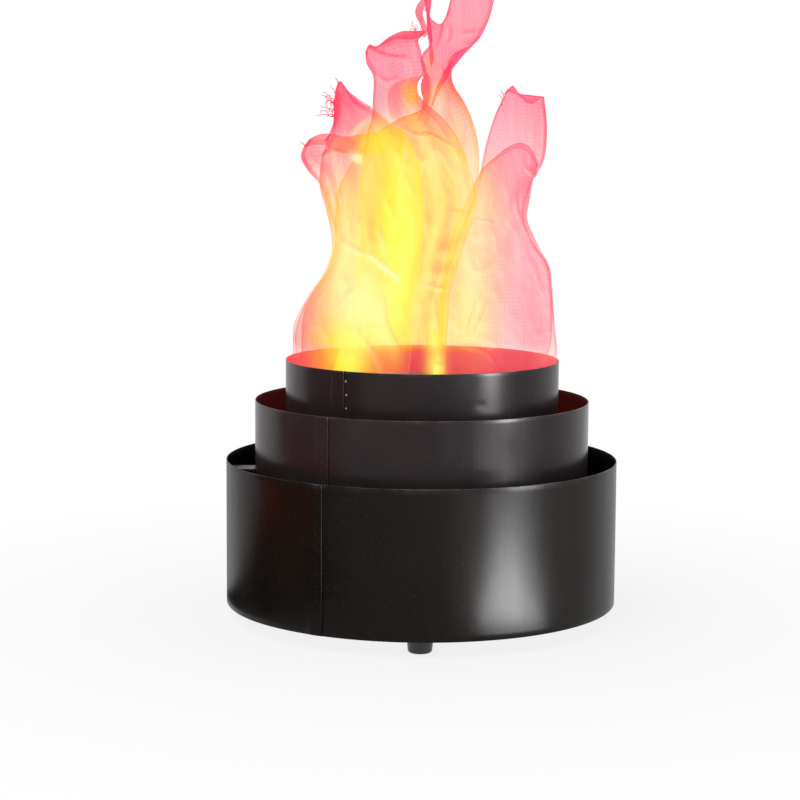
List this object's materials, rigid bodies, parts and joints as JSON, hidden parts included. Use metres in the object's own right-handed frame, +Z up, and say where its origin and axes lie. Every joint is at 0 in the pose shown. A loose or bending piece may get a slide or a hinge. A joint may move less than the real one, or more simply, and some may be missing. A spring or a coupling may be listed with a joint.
{
  "type": "silk flame effect light",
  "caption": "Round three-step black steel housing with a fan, a ring of red and amber lamps, and silk tongues that the air blows up into a flame.",
  "frame": {"origin": "centre of the housing on the plane of its feet", "axes": "+Z up through the flame, front towards -Y, with the inlet and the switch at the back, +Y"},
  "size_m": [0.3098, 0.3125, 0.532],
  "materials": {
    "black_steel": "satin",
    "zinc_steel": "satin",
    "cast_alloy": "satin",
    "black_rubber": "matte",
    "black_plastic": "matte",
    "fan_plastic": "satin",
    "copper_winding": "satin",
    "white_board": "matte",
    "red_lens": "gloss",
    "amber_lens": "gloss",
    "white_terminal": "matte",
    "lead_sheath": "satin",
    "flame_silk": "matte"
  },
  "bodies": {
    "housing": {"outer_drum": "black_steel", "middle_ring": "black_steel", "top_ring": "black_steel", "outer_bracket_1": "black_steel", "outer_bracket_2": "black_steel", "outer_bracket_3": "black_steel", "inner_bracket_1": "black_steel", "inner_bracket_2": "black_steel", "inner_bracket_3": "black_steel", "base_plate": "zinc_steel", "foot_1": "black_rubber", "foot_screw_1": "zinc_steel", "foot_2": "black_rubber", "foot_screw_2": "zinc_steel", "foot_3": "black_rubber", "foot_screw_3": "zinc_steel", "foot_4": "black_rubber", "foot_screw_4": "zinc_steel", "deck_pillar_1": "zinc_steel", "deck_pillar_2": "zinc_steel", "deck_pillar_3": "zinc_steel", "deck_pillar_4": "zinc_steel", "lamp_plate": "zinc_steel", "lamp_lens_1": "red_lens", "lamp_lens_2": "amber_lens", "lamp_lens_3": "red_lens", "lamp_lens_4": "amber_lens", "lamp_lens_5": "red_lens", "lamp_lens_6": "amber_lens", "lamp_lens_7": "red_lens", "lamp_lens_8": "amber_lens", "lamp_board": "white_board", "fan_frame": "cast_alloy", "fan_post_1": "zinc_steel", "fan_post_2": "zinc_steel", "fan_post_3": "zinc_steel", "fan_post_4": "zinc_steel", "fan_stator": "copper_winding", "fan_guard": "zinc_steel", "silk_carrier": "zinc_steel", "silk_clamp_outer": "zinc_steel", "silk_clamp_inner": "zinc_steel", "silk_left": "flame_silk", "silk_front": "flame_silk", "silk_right": "flame_silk", "silk_tall": "flame_silk", "silk_back_right": "flame_silk", "silk_back_left": "flame_silk", "driver_case": "cast_alloy", "driver_lid": "zinc_steel", "terminal_block": "white_terminal", "power_inlet": "black_plastic", "switch_body": "black_plastic", "mains_lead": "lead_sheath", "switch_lead": "lead_sheath", "driver_lead": "lead_sheath", "motor_lead": "lead_sheath", "lamp_lead": "lead_sheath"},
    "rotor": {"fan_rotor": "fan_plastic"},
    "rocker": {"switch_rocker": "black_plastic"}
  },
  "joints": [
    {"name": "fan_spin", "type": "hinge", "parent": "housing", "child": "rotor", "pos_m": [0, 0, 0.069], "axis": [0, 0, 1], "continuous": true},
    {"name": "switch_tilt", "type": "hinge", "parent": "housing", "child": "rocker", "pos_m": [0.04781, 0.14713, 0.046], "axis": [-0.9511, 0.309, 0], "range_deg": [-20, 0]}
  ]
}
